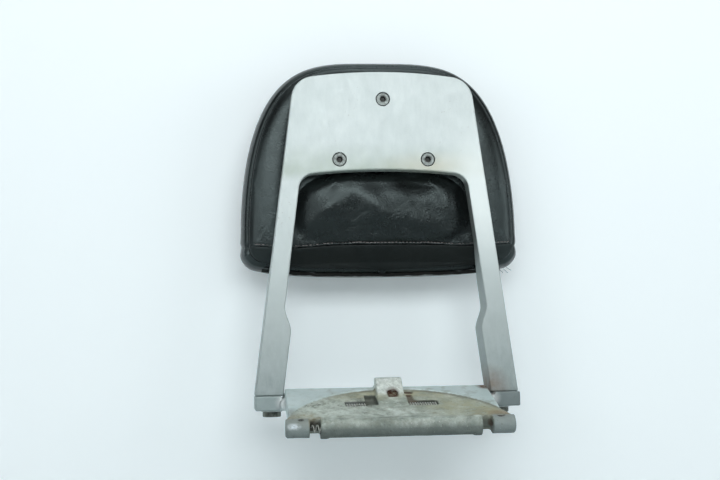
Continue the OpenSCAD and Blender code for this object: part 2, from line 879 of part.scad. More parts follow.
module cover_bottom_hem() {
    color([0.06, 0.06, 0.065]) in_frame() intersection() {
        across(2 * (pad_half_w - 12)) polygon([
            [band_low_y, pad_low_z + 1], [band_low_y + 3, pad_low_z + 1],
            [band_low_y + 3, pad_low_z + hem_h - soft_gap], [band_low_y, pad_low_z + hem_h - soft_gap]
        ]);
        upright(0, pad_front) polygon(pad_ring(1));
    }
}

backrest_frame();
dock_bracket();
foot_bolt_left();
foot_bolt_right();
foot_washer_left();
foot_washer_right();
latch_spring_left();
latch_spring_right();
rim_spring();
cushion_screw_top();
cushion_screw_left();
cushion_screw_right();
tee_nut_top();
tee_nut_left();
tee_nut_right();
cushion_board();
foam_core();
rear_foam();
cover_back_panel();
cover_side_panel();
cover_front_panel();
cover_bottom_band();
cover_bottom_hem();
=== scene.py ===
import math

import bmesh
import bpy
import numpy as np
from mathutils import Matrix, Vector, noise
from mathutils.bvhtree import BVHTree


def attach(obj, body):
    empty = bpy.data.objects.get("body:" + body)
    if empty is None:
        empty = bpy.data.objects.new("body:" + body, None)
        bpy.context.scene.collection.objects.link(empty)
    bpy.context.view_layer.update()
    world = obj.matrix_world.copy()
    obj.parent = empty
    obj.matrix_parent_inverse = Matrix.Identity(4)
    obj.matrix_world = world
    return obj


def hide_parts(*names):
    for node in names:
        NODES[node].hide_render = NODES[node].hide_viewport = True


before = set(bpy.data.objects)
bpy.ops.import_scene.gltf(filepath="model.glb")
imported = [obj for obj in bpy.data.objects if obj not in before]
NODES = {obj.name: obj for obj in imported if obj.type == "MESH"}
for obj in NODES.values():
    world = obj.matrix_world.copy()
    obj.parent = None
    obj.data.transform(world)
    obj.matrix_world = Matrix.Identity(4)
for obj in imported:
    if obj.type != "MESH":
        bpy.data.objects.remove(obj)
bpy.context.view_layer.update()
MM = 0.001
# The backrest frame's tail face and feet, and its screws as (x, height), in millimetres
BACK_Y, FOOT_Z = 85.15, 27.0
SCREWS = ((0, 291.4), (-44.2, 230.9), (44.2, 230.9))
# The deck's slope, its uphill direction and the direction square to its top
TILT = math.radians(16.7)
COS, SIN = math.cos(TILT), math.sin(TILT)
UPHILL, OUTWARD = (0, COS, SIN), (0, -SIN, COS)


def F(x, y, z):
    return Vector((x * MM, (y + BACK_Y) * MM, (z + FOOT_Z) * MM))


def D(x, y, z):
    return Vector((x * MM, (y * COS - z * SIN) * MM, (y * SIN + z * COS) * MM))


# Middle and radius of the half-moon's arc, in metres
MOON_MIDDLE, MOON_R = D(0, -24.2, 6.4), 0.110


def camera():
    """The camera that was fitted to the photograph's outlines."""
    right = Vector((0.993455, -0.112984, -0.016811))
    forward = Vector((0.113985, 0.990135, 0.081488))
    up = Vector((0.007438, -0.082871, 0.996533))
    data = bpy.data.cameras.new("camera")
    data.sensor_width = 36
    data.lens = 65.0
    data.clip_start = 0.05
    cam = bpy.data.objects.new("camera", data)
    cam.matrix_world = Matrix((
        (right.x, up.x, -forward.x, -0.17107),
        (right.y, up.y, -forward.y, -1.18133),
        (right.z, up.z, -forward.z, 0.07363),
        (0, 0, 0, 1),
    ))
    bpy.context.collection.objects.link(cam)
    bpy.context.scene.camera = cam


# Materials

class Mat:
    """A procedural material: small helpers around one Principled shader."""

    def __init__(self, name, metallic=0.0, rough=0.5, specular=0.5):
        self.mat = bpy.data.materials.new(name)
        self.mat.use_nodes = True
        self.nodes = self.mat.node_tree.nodes
        self.links = self.mat.node_tree.links
        self.nodes.clear()
        self.out = self.nodes.new("ShaderNodeOutputMaterial")
        self.bsdf = self.nodes.new("ShaderNodeBsdfPrincipled")
        self.links.new(self.bsdf.outputs[0], self.out.inputs[0])
        self.bsdf.inputs["Metallic"].default_value = metallic
        self.bsdf.inputs["Roughness"].default_value = rough
        self.bsdf.inputs["Specular IOR Level"].default_value = specular
        self.coord = self.nodes.new("ShaderNodeTexCoord").outputs["Object"]

    def plug(self, socket, value):
        if isinstance(value, bpy.types.NodeSocket):
            self.links.new(value, socket)
        else:
            socket.default_value = value

    def stretch(self, scale):
        node = self.nodes.new("ShaderNodeMapping")
        self.links.new(self.coord, node.inputs["Vector"])
        node.inputs["Scale"].default_value = scale
        return node.outputs[0]

    def noise(self, scale, detail=4.0, rough=0.55, distort=0.0, coord=None):
        node = self.nodes.new("ShaderNodeTexNoise")
        self.links.new(coord or self.coord, node.inputs["Vector"])
        node.inputs["Scale"].default_value = scale
        node.inputs["Detail"].default_value = detail
        node.inputs["Roughness"].default_value = rough
        node.inputs["Distortion"].default_value = distort
        return node.outputs["Fac"]

    def cells(self, scale):
        node = self.nodes.new("ShaderNodeTexVoronoi")
        self.links.new(self.coord, node.inputs["Vector"])
        node.inputs["Scale"].default_value = scale
        return node.outputs["Distance"]

    def ramp(self, fac, stops):
        node = self.nodes.new("ShaderNodeValToRGB")
        self.plug(node.inputs[0], fac)
        elements = node.color_ramp.elements
        while len(elements) < len(stops):
            elements.new(0.5)
        for element, (place, colour) in zip(elements, stops):
            element.position = place
            if isinstance(colour, (int, float)):
                colour = (colour, colour, colour)
            element.color = (*colour, 1)
        return node.outputs[0]

    def math(self, op, a, b=0.0, clamp=False):
        node = self.nodes.new("ShaderNodeMath")
        node.operation = op
        node.use_clamp = clamp
        self.plug(node.inputs[0], a)
        self.plug(node.inputs[1], b)
        return node.outputs[0]

    def mix(self, fac, a, b):
        """Colour a where fac is 0 and colour b where it is 1."""
        node = self.nodes.new("ShaderNodeMix")
        node.data_type = "RGBA"
        self.plug(node.inputs[0], fac)
        # Inputs 6 and 7 and output 2 are the node's colours
        for socket, value in ((node.inputs[6], a), (node.inputs[7], b)):
            self.plug(socket, (*value, 1) if isinstance(value, tuple) else value)
        return node.outputs[2]

    def vector_math(self, op, a, b=None):
        node = self.nodes.new("ShaderNodeVectorMath")
        node.operation = op
        self.links.new(a, node.inputs[0])
        if b is not None:
            node.inputs[1].default_value = b
        return node

    def span(self, value, low, high, at_low=0.0, at_high=1.0):
        """at_low where the value is low or beyond, at_high where it is high, evenly between."""
        node = self.nodes.new("ShaderNodeMapRange")
        self.links.new(value, node.inputs[0])
        for index, number in enumerate((low, high, at_low, at_high), 1):
            node.inputs[index].default_value = number
        return node.outputs[0]

    def near(self, point, radius, stretch=(1, 1, 1)):
        """1 at a point, falling to 0 at radius metres from it."""
        offset = self.vector_math("SUBTRACT", self.coord, point).outputs[0]
        scaled = self.vector_math("MULTIPLY", offset, stretch).outputs[0]
        length = self.vector_math("LENGTH", scaled).outputs["Value"]
        return self.span(length, 0.0, radius, 1.0, 0.0)

    def along(self, axis, low, high):
        """0 at low and 1 at high along an axis of the row's frame."""
        split = self.nodes.new("ShaderNodeSeparateXYZ")
        self.links.new(self.coord, split.inputs[0])
        return self.span(split.outputs["XYZ".index(axis)], low, high)

    def toward(self, direction, low, high):
        """0 at low and 1 at high, in metres along a direction from the origin."""
        distance = self.vector_math("DOT_PRODUCT", self.coord, direction).outputs["Value"]
        return self.span(distance, low, high)

    def times(self, *factors):
        """The factors' product, held between 0 and 1 at each step."""
        value = factors[0]
        for factor in factors[1:]:
            value = self.math("MULTIPLY", value, factor, True)
        return value

    def bump(self, height, strength, distance, under=None):
        """Relief on the shader's normal, on top of an earlier relief if under gives one."""
        node = self.nodes.new("ShaderNodeBump")
        self.links.new(height, node.inputs["Height"])
        node.inputs["Strength"].default_value = strength
        node.inputs["Distance"].default_value = distance
        if under is not None:
            self.links.new(under, node.inputs["Normal"])
        self.links.new(node.outputs[0], self.bsdf.inputs["Normal"])
        return node.outputs[0]

    def colour(self, value):
        self.plug(self.bsdf.inputs["Base Color"], value)

    def rough(self, value):
        self.plug(self.bsdf.inputs["Roughness"], value)


def frame_metal():
    m = Mat("satin_cast_aluminium", metallic=0.32, rough=0.55)
    base = m.ramp(m.noise(14, 3, 0.5), [(0.3, (0.60, 0.665, 0.66)), (0.7, (0.66, 0.72, 0.715))])
    # Painted shade: darker towards the feet, in drifts, where the light falls off
    shade_fall = [(0.07, 0.0), (0.33, 0.15), (0.57, 0.42), (0.8, 0.68), (1.0, 0.92)]
    low = m.ramp(m.along("Z", 0.235, 0.02), shade_fall)
    drifts = m.ramp(m.noise(30, 5, 0.6), [(0.3, 0.8), (0.7, 1.0)])
    base = m.mix(m.times(low, drifts), base, (0.19, 0.235, 0.235))
    # Grey-green film along the window's upper edge and around the lower screws
    height = m.times(m.along("Z", 0.275, 0.249), m.along("Z", 0.236, 0.246))
    film = m.times(height, m.ramp(m.noise(45, 4, 0.6), [(0.3, 0.55), (0.7, 1.0)]))
    base = m.mix(film, base, (0.455, 0.525, 0.465))
    # Mottling, specks in patches, a warm stain right of the window and a painted highlight on the right arm
    mottle = m.noise(150, 5, 0.7, coord=m.stretch((1.3, 1, 0.5)))
    base = m.mix(m.ramp(mottle, [(0.36, 0.0), (0.66, 0.32)]), base, (0.50, 0.565, 0.565))
    specks = m.ramp(m.noise(260, 2, 0.6), [(0.27, 1.0), (0.33, 0.0)])
    patch = m.ramp(m.noise(22, 2, 0.5), [(0.50, 0.0), (0.62, 0.55)])
    base = m.mix(m.times(specks, patch), base, (0.42, 0.44, 0.42))
    stain = m.times(m.near(F(56, 0, 224), 0.05, (0.7, 1, 3.0)), 0.45)
    base = m.mix(stain, base, (0.62, 0.56, 0.42))
    # Painted highlight on the right arm
    painted_highlight = m.times(m.near(F(104, 0, 205), 0.085, (1.6, 1, 1)), 1.5)
    base = m.mix(m.times(painted_highlight, 0.75), base, (0.84, 0.90, 0.89))
    # Rust in the corner of the right foot
    rust = m.times(m.near(F(99, 12, 4), 0.026, (1, 0.5, 1)), m.noise(120, 4, 0.7), 1.5)
    base = m.mix(rust, base, (0.20, 0.12, 0.07))
    # Painted shade on the inner sides of the arms beside the cushion
    facing = m.nodes.new("ShaderNodeSeparateXYZ")
    m.links.new(m.nodes.new("ShaderNodeNewGeometry").outputs["Normal"], facing.inputs[0])
    side_shade = m.times(m.math("SUBTRACT", m.math("ABSOLUTE", facing.outputs[0]), 0.75), 6.0)
    height = m.along("Z", (FOOT_Z + 128) * MM, (FOOT_Z + 150) * MM)
    beside = m.times(height, m.along("X", 0.105, 0.10), m.along("X", -0.105, -0.10))
    base = m.mix(m.times(side_shade, beside, 0.85), base, (0.16, 0.18, 0.175))
    # Painted shade in the counterbores
    inside = m.along("Y", (BACK_Y + 0.9) * MM, (BACK_Y + 1.6) * MM)
    for x, z in SCREWS:
        bore_shade = m.times(m.near(F(x, 2, z), 0.0098), 8.0, inside)
        base = m.mix(bore_shade, base, (0.07, 0.08, 0.075))
    m.colour(base)
    m.rough(m.ramp(m.noise(90, 4, 0.6), [(0.3, 0.48), (0.7, 0.60)]))
    brushed = m.noise(900, 2, 0.5, coord=m.stretch((1, 1, 0.12)))
    first = m.bump(brushed, 0.10, 0.0002)
    m.bump(m.noise(420, 4, 0.65), 0.20, 0.00025, first)
    return m.mat


def bracket_metal():
    m = Mat("rough_cast_aluminium", metallic=0.35, rough=0.6, specular=0.35)
    # The smooth cross member and lugs, and the mottled half-moon with its stains
    smooth = m.ramp(m.noise(30, 4, 0.55), [(0.3, (0.54, 0.65, 0.645)), (0.7, (0.65, 0.745, 0.74))])
    tones = [(0.34, (0.17, 0.20, 0.17)), (0.49, (0.42, 0.485, 0.435)), (0.66, (0.74, 0.82, 0.76))]
    rough = m.ramp(m.noise(60, 7, 0.68), tones)
    mottle = m.ramp(m.noise(170, 5, 0.7), [(0.38, 0.0), (0.66, 0.75)])
    rough = m.mix(mottle, rough, (0.30, 0.315, 0.255))
    blotch = m.ramp(m.noise(85, 5, 0.7), [(0.30, 0.85), (0.44, 0.0)])
    rough = m.mix(blotch, rough, (0.15, 0.17, 0.145))
    breakup = m.ramp(m.noise(70, 6, 0.68), [(0.34, 0.15), (0.58, 1.0)])
    for place, reach, stretch, colour, amount in (
        (D(64, 33, 7), 0.052, (0.95, 1.5, 1), (0.43, 0.43, 0.30), 1.5),
        (D(84, 14, 7), 0.030, (1, 1.5, 1), (0.35, 0.325, 0.215), 1.5),
        (D(-26, 73, 7), 0.040, (0.8, 1.8, 1), (0.50, 0.49, 0.34), 1.6),
        (D(32, 73, 7), 0.035, (0.8, 1.8, 1), (0.50, 0.49, 0.34), 1.4),
        (D(-90, 7, 7), 0.022, (1, 1, 1), (0.33, 0.25, 0.11), 1.7),
        (D(97, 9, 6), 0.016, (1, 1, 1), (0.24, 0.17, 0.10), 1.7),
    ):
        spot = m.times(m.near(place, reach, stretch), amount)
        rough = m.mix(m.times(spot, breakup, 0.85), rough, colour)
    # Pale lumps at its left end
    lumps = m.ramp(m.noise(190, 3, 0.6), [(0.42, 0.0), (0.56, 1.0)])
    lumpy = m.times(m.near(D(-62, 36, 7), 0.050, (0.9, 1.2, 1)), 1.6)
    rough = m.mix(m.times(lumps, lumpy, 0.75), rough, (0.60, 0.66, 0.60))
    # Painted highlight along the ridge in front of the slots, and painted shade on the rim's lower half below
    # it
    ridge_highlight_breakup = m.ramp(m.noise(130, 5, 0.7), [(0.42, 0.0), (0.6, 1.0)])
    ridge = m.times(m.near(D(-10, 20, 7), 0.020, (0.22, 1.6, 1)), ridge_highlight_breakup)
    rough = m.mix(ridge, rough, (0.62, 0.68, 0.64))
    # Painted shade on the lower half of the rim's roll
    near_rim = m.toward(UPHILL, 0.014, 0.004)
    rim = m.times(m.toward(OUTWARD, 0.0102, 0.0015), near_rim)
    rough = m.mix(m.times(rim, 0.85), rough, (0.125, 0.15, 0.14))
    # The half-moon inside its slightly wavy arc, with a line of painted shade along the arc's step, fading
    # out towards the left
    wavy = m.math("MULTIPLY", m.math("SUBTRACT", m.noise(90, 3, 0.6), 0.5), 0.012)
    edge = m.math("ADD", m.near(MOON_MIDDLE, MOON_R), wavy)
    inside = m.ramp(edge, [(0.0, 0.0), (0.010, 1.0)])
    base = m.mix(inside, smooth, rough)
    line = m.ramp(edge, [(0.0, 0.0), (0.006, 0.7), (0.022, 0.45), (0.05, 0.0)])
    line = m.times(line, m.along("X", -0.085, -0.015), m.toward(UPHILL, 0.012, 0.03))
    base = m.mix(line, base, (0.17, 0.175, 0.14))
    ends = m.math("ADD", m.along("X", 0.084, 0.0855), m.along("X", -0.084, -0.0855), True)
    barrels = m.times(ends, near_rim)
    base = m.mix(m.times(barrels, 0.75), base, (0.27, 0.315, 0.31))
    # The latch post is paler than the field around it
    grain = m.ramp(m.noise(240, 5, 0.7), [(0.35, (0.52, 0.58, 0.55)), (0.65, (0.86, 0.92, 0.89))])
    post = m.times(m.toward(OUTWARD, 0.0085, 0.0105), m.along("X", -0.02, -0.0145), 0.85)
    base = m.mix(post, base, grain)
    # Painted shade and dirt on each lug under the arms, with a painted highlight where each meets the beam
    lug_shade_and_dirt = m.math("ADD", m.along("X", 0.1005, 0.104), m.along("X", -0.1045, -0.107), True)
    lug_shade_and_dirt = m.times(lug_shade_and_dirt, m.along("Y", 0.05, 0.06))
    base = m.mix(m.times(lug_shade_and_dirt, 0.8), base, (0.235, 0.285, 0.285))
    right_lug_shade_and_dirt = m.times(m.along("X", 0.100, 0.104), m.along("Y", 0.05, 0.06), 0.75)
    base = m.mix(right_lug_shade_and_dirt, base, (0.15, 0.18, 0.18))
    # Painted highlight on the fillet where each lug meets the beam
    for x in (-99, 98):
        lug_fillet_highlight = m.times(m.near(F(x, -7, -6), 0.012, (0.9, 0.5, 1.3)), 2.0)
        base = m.mix(m.times(lug_fillet_highlight, 0.7), base, (0.58, 0.60, 0.60))
    # Painted shade with dirt and rust: socket, pockets, slots, corners
    deep_shade_and_dirt = m.toward(OUTWARD, 0.0060, 0.0045)
    for place, reach, stretch, colour in (
        (D(-38, 50, 3), 0.0125, (0.75, 1, 1), (0.17, 0.19, 0.185)),
        (D(-20, 62, 1), 0.0160, (1, 0.9, 0.7), (0.115, 0.13, 0.115)),
        (D(28, 50, 3), 0.0125, (0.60, 1, 1), (0.075, 0.085, 0.075)),
        (D(17, 64, 4), 0.0110, (1.3, 0.7, 1), (0.15, 0.13, 0.10)),
        (D(16, 78, 3), 0.0080, (1, 1, 1), (0.10, 0.06, 0.045)),
    ):
        spot = m.times(m.near(place, reach, stretch), 4.0)
        base = m.mix(m.times(spot, deep_shade_and_dirt, 0.9), base, colour)
    fleck = m.ramp(m.noise(300, 3, 0.6), [(0.3, 0.45), (0.6, 1.0)])
    for place, reach, colour in (
        (F(1, -21, 0), 0.0085, (0.085, 0.035, 0.022)), (F(97, -2, 5), 0.012, (0.13, 0.065, 0.035)),
        (D(-79, 2.5, 0), 0.0085, (0.07, 0.065, 0.055)), (D(84, 3, 1), 0.0045, (0.10, 0.075, 0.055)),
        (D(93, 4, 8), 0.0045, (0.05, 0.035, 0.03)), (D(-91.5, 2, 8.2), 0.0035, (0.04, 0.035, 0.03)),
    ):
        spot = m.times(m.near(place, reach), 2.4)
        base = m.mix(m.times(spot, fleck), base, colour)
    # Painted shadow beside the left foot bolt and painted shade at the beam's lower left corner
    base = m.mix(m.times(m.near(F(-112, 12, -13), 0.020), 0.7), base, (0.20, 0.21, 0.17))
    base = m.mix(m.times(m.near(D(-101, 24, 4), 0.014), 0.9), base, (0.26, 0.29, 0.27))
    # Painted highlight on the left barrel's top edge, broken up into flecks
    barrel_highlight = m.times(m.near(D(-98.5, -6.6, 5.0), 0.0075, (0.95, 1.9, 1.9)), 1.3)
    barrel_highlight_breakup = m.ramp(m.noise(420, 4, 0.7), [(0.36, 0.25), (0.56, 1.0)])
    base = m.mix(m.times(barrel_highlight, barrel_highlight_breakup), base, (0.64, 0.71, 0.75))
    # Pale chips and dark pits
    chips = m.ramp(m.cells(230), [(0.10, 1.0), (0.18, 0.0)])
    where = m.times(inside, m.ramp(m.noise(45, 3, 0.6), [(0.52, 0.0), (0.66, 0.5)]))
    base = m.mix(m.times(chips, where), base, (0.60, 0.63, 0.58))
    pits = m.ramp(m.noise(330, 3, 0.6), [(0.28, 1.0), (0.36, 0.0)])
    base = m.mix(m.times(pits, 0.6, m.math("ADD", inside, 0.2, True)), base, (0.12, 0.12, 0.10))
    m.colour(base)
    m.rough(m.ramp(inside, [(0.0, 0.46), (1.0, 0.66)]))
    skin = m.times(m.noise(210, 5, 0.65), m.math("ADD", inside, 0.15, True))
    first = m.bump(skin, 0.8, 0.0013)
    m.bump(m.noise(900, 3, 0.6), 0.35, 0.0003, first)
    return m.mat


def leather(name, low, high, rough, specular, crease):
    m = Mat(name, rough=0.4, specular=specular)
    m.bsdf.inputs["Specular Tint"].default_value = (0.82, 1.0, 1.0, 1)
    base = m.ramp(m.noise(24, 4, 0.6), [(0.35, low), (0.7, high)])
    # A painted sheen where the cover stays taut beside the arms, on the upper roll and at the low corners
    for place, reach, stretch, amount in (
        (F(-116, 18, 190), 0.062, (2.6, 1, 0.75), 1.5), (F(121, 20, 178), 0.060, (2.8, 1, 0.75), 1.3),
        (F(0, 24, 334), 0.105, (0.8, 4, 6), 1.2), (F(-134, 30, 137), 0.022, (1, 1, 1), 1.0),
        (F(134, 30, 137), 0.022, (1, 1, 1), 1.2),
    ):
        spot = m.times(m.near(place, reach, stretch), amount)
        sheen_breakup = m.ramp(m.noise(70, 4, 0.6), [(0.25, 0.55), (0.7, 1.0)])
        base = m.mix(m.times(spot, sheen_breakup), base, (0.034, 0.043, 0.044))
    m.colour(base)
    m.rough(m.ramp(m.noise(55, 4, 0.6), [(0.3, rough[0]), (0.7, rough[1])]))
    # Creases gather below the window's middle and to its right; the sides stay taut
    folds = m.ramp(m.noise(60, 5, 0.6, 1.2), [(0.36, 0.0), (0.5, 1.0), (0.64, 0.25)])
    low_middle = m.near(F(0, 15, 160), 0.045, (0.35, 1, 1))
    right = m.times(m.near(F(50, 15, 182), 0.055), 0.45)
    creased = m.math("ADD", low_middle, m.math("ADD", right, 0.1), True)
    first = m.bump(m.times(folds, creased), crease, 0.0008)
    fine = m.times(m.noise(430, 5, 0.65, 0.3), m.math("ADD", creased, 0.15, True))
    second = m.bump(fine, 0.45, 0.0006, first)
    m.bump(m.cells(820), 0.30, 0.00018, second)
    return m.mat


def plain_metal(name, dark, light, metallic, rough, scale=400):
    m = Mat(name, metallic=metallic, rough=rough)
    m.colour(m.ramp(m.noise(scale, 4, 0.6), [(0.3, dark), (0.7, light)]))
    m.rough(m.ramp(m.noise(scale * 0.6, 3, 0.6), [(0.3, rough - 0.08), (0.7, rough + 0.14)]))
    m.bump(m.noise(scale * 3, 2, 0.5), 0.2, 0.0001)
    return m.mat


def screw_metal():
    m = Mat("screw_steel", metallic=0.6, rough=0.38)
    base = m.ramp(m.noise(420, 4, 0.6), [(0.3, (0.10, 0.115, 0.11)), (0.7, (0.26, 0.29, 0.28))])
    # Painted shade in each head's hex socket
    for x, z in SCREWS:
        socket = m.times(m.near(F(x + 0.3, 1.2, z + 0.4), 0.0042), 2.6)
        base = m.mix(m.times(socket, 0.93), base, (0.035, 0.04, 0.036))
    # Painted shade round the head, down in its counterbore
    deep_shade_and_dirt = m.times(m.along("Y", (BACK_Y + 1.5) * MM, (BACK_Y + 2.4) * MM), 0.95)
    base = m.mix(deep_shade_and_dirt, base, (0.015, 0.017, 0.015))
    m.colour(base)
    m.rough(m.ramp(m.noise(240, 3, 0.6), [(0.3, 0.28), (0.7, 0.48)]))
    m.bump(m.noise(1200, 2, 0.5), 0.2, 0.0001)
    return m.mat


def thread(name, dark, light):
    m = Mat(name, rough=0.7, specular=0.25)
    m.colour(m.ramp(m.noise(600, 2, 0.5), [(0.3, dark), (0.7, light)]))
    m.bump(m.noise(2600, 2, 0.5, coord=m.stretch((1, 0.3, 0.3))), 0.5, 0.0002)
    return m.mat


def wood():
    m = Mat("plywood", rough=0.6)
    grain = m.noise(90, 4, 0.6, coord=m.stretch((0.15, 1, 1)))
    m.colour(m.ramp(grain, [(0.3, (0.42, 0.30, 0.17)), (0.7, (0.62, 0.47, 0.29))]))
    m.bump(m.noise(500, 3, 0.6, coord=m.stretch((0.1, 1, 1))), 0.3, 0.0002)
    return m.mat


MATS = {
    "frame": frame_metal(),
    "bracket": bracket_metal(),
    "leather": leather(
        "black_leather", (0.0022, 0.0026, 0.0028), (0.0042, 0.0048, 0.005), (0.24, 0.33), 0.44, 0.5),
    "band": leather(
        "dull_black_leather", (0.004, 0.0045, 0.0045), (0.009, 0.0095, 0.009), (0.46, 0.58), 0.26, 0.5),
    "edge": leather(
        "raw_leather_edge", (0.005, 0.0048, 0.0046), (0.014, 0.0125, 0.0115), (0.7, 0.85), 0.2, 0.3),
    "screw": screw_metal(),
    "bolt": plain_metal("worn_black_steel", (0.07, 0.08, 0.07), (0.30, 0.32, 0.28), 0.5, 0.5, 160),
    "zinc": plain_metal("dull_zinc", (0.40, 0.43, 0.42), (0.60, 0.64, 0.62), 0.8, 0.42),
    "spring": plain_metal("spring_steel", (0.36, 0.37, 0.32), (0.66, 0.69, 0.66), 0.5, 0.4),
    "pale_thread": thread("pale_thread", (0.13, 0.115, 0.11), (0.27, 0.245, 0.24)),
    "black_thread": thread("black_thread", (0.012, 0.012, 0.013), (0.045, 0.045, 0.045)),
    "wood": wood(),
}


# Mesh helpers

def piece(name, mesh, material, replaced=(), smooth=35):
    """A piece on the root body. Faces that meet at less than smooth degrees are shaded as one."""
    obj = bpy.data.objects.new(name, mesh)
    bpy.context.collection.objects.link(obj)
    mesh.materials.clear()
    mesh.materials.append(MATS[material])
    if smooth is not None:
        bm = bmesh.new()
        bm.from_mesh(mesh)
        limit = math.radians(smooth)
        for face in bm.faces:
            face.smooth = True
        for edge in bm.edges:
            edge.smooth = len(edge.link_faces) == 2 and edge.calc_face_angle(0) < limit
        bm.to_mesh(mesh)
        bm.free()
    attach(obj, "root")
    if replaced:
        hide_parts(*replaced)
    return obj


def from_data(name, verts, faces):
    mesh = bpy.data.meshes.new(name)
    mesh.from_pydata([tuple(v) for v in verts], [], faces)
    mesh.validate()
    bm = bmesh.new()
    bm.from_mesh(mesh)
    bmesh.ops.recalc_face_normals(bm, faces=bm.faces)
    bm.to_mesh(mesh)
    bm.free()
    return mesh


def applied(obj):
    """Bakes an object's modifiers into its mesh."""
    bpy.context.view_layer.update()
    graph = bpy.context.evaluated_depsgraph_get()
    mesh = bpy.data.meshes.new_from_object(obj.evaluated_get(graph))
    obj.modifiers.clear()
    obj.data = mesh
    return mesh


def to_mesh(bm, name):
    """A new mesh of what a bmesh holds. The bmesh is freed."""
    mesh = bpy.data.meshes.new(name)
    bm.to_mesh(mesh)
    bm.free()
    return mesh


def smooth_all(obj):
    obj.data.polygons.foreach_set("use_smooth", [True] * len(obj.data.polygons))


def dress(node, material):
    """Gives a CAD node that shows as it is its material."""
    NODES[node].data.materials.clear()
    NODES[node].data.materials.append(MATS[material])


def cad_copy(node):
    """A welded copy of a CAD node's mesh with its flat faces joined."""
    bm = bmesh.new()
    bm.from_mesh(NODES[node].data)
    bmesh.ops.remove_doubles(bm, verts=bm.verts, dist=2e-6)
    bmesh.ops.dissolve_limit(bm, angle_limit=math.radians(0.6), verts=bm.verts, edges=bm.edges)
    return bm


# Millimetres round a screw in which edges are rounded less, and the share of the width that they get
FINE_REACH, FINE_SHARE = 9.0, 0.3


def bevelled(name, node, width, material, segments, angle, fine=()):
    """A node's mesh with edges that turn by more than angle degrees rounded, less so near fine's points."""
    bm = cad_copy(node)
    weight = bm.edges.layers.float.new("bevel_weight_edge")
    for edge in bm.edges:
        middle = (edge.verts[0].co + edge.verts[1].co) / 2
        small = any(math.hypot(middle.x - p.x, middle.z - p.z) < FINE_REACH * MM for p in fine)
        sharp = len(edge.link_faces) == 2 and edge.calc_face_angle(0) > math.radians(angle)
        edge[weight] = (FINE_SHARE if small else 1.0) if sharp else 0.0
    obj = piece(name, to_mesh(bm, name), material, (node,), None)
    bevel = obj.modifiers.new("bevel", "BEVEL")
    bevel.width = width * MM
    bevel.segments = segments
    bevel.limit_method = "WEIGHT"
    bevel.use_clamp_overlap = False
    applied(obj)
    smooth_all(obj)
    obj.modifiers.new("weighted", "WEIGHTED_NORMAL")


def tube(name, points, radius, sides, closed=False):
    """A round tube along points; radius may be a list with one for each point."""
    pts = [Vector(p) for p in points]
    n = len(pts)
    radii = radius if isinstance(radius, list) else [radius] * n
    verts, faces = [], []
    normal = None
    for i in range(n):
        if closed:
            tangent = pts[(i + 1) % n] - pts[i - 1]
        else:
            tangent = pts[min(i + 1, n - 1)] - pts[max(i - 1, 0)]
        tangent.normalize()
        if normal is None:
            seed = Vector((0, 1, 0)) if abs(tangent.y) < 0.9 else Vector((0, 0, 1))
            normal = tangent.cross(seed).normalized()
        normal = (normal - tangent * normal.dot(tangent)).normalized()
        other = tangent.cross(normal)
        for k in range(sides):
            a = 2 * math.pi * k / sides
            verts.append(pts[i] + (normal * math.cos(a) + other * math.sin(a)) * radii[i])
    for i in range(n if closed else n - 1):
        j = (i + 1) % n
        for k in range(sides):
            m = (k + 1) % sides
            faces.append((i * sides + k, i * sides + m, j * sides + m, j * sides + k))
    if not closed:
        faces.append(tuple(range(sides - 1, -1, -1)))
        faces.append(tuple((n - 1) * sides + k for k in range(sides)))
    return from_data(name, verts, faces)


def joined(name, meshes):
    bm = bmesh.new()
    for mesh in meshes:
        bm.from_mesh(mesh)
    return to_mesh(bm, name)


# Castings and small metal

def castings():
    screws = [F(x, 0, z) for x, z in SCREWS]
    bevelled("frame_casting", "backrest_frame", 1.6, "frame", 4, 28, screws)
    mesh = to_mesh(cad_copy("dock_bracket"), "bracket_casting")
    obj = piece("bracket_casting", mesh, "bracket", ("dock_bracket",), None)
    remesh = obj.modifiers.new("remesh", "REMESH")
    remesh.mode = "VOXEL"
    remesh.voxel_size = 1.12 * MM
    smooth = obj.modifiers.new("smooth", "SMOOTH")
    smooth.factor = 0.5
    smooth.iterations = 2
    applied(obj)
    roughen(obj.data)
    smooth_all(obj)


def coords_and_normals(mesh):
    """Arrays of a mesh's points and of their normals, read once."""
    count = len(mesh.vertices)
    coords, normals = np.empty(count * 3), np.empty(count * 3)
    mesh.vertices.foreach_get("co", coords)
    mesh.vertices.foreach_get("normal", normals)
    return coords.reshape(-1, 3), normals.reshape(-1, 3)


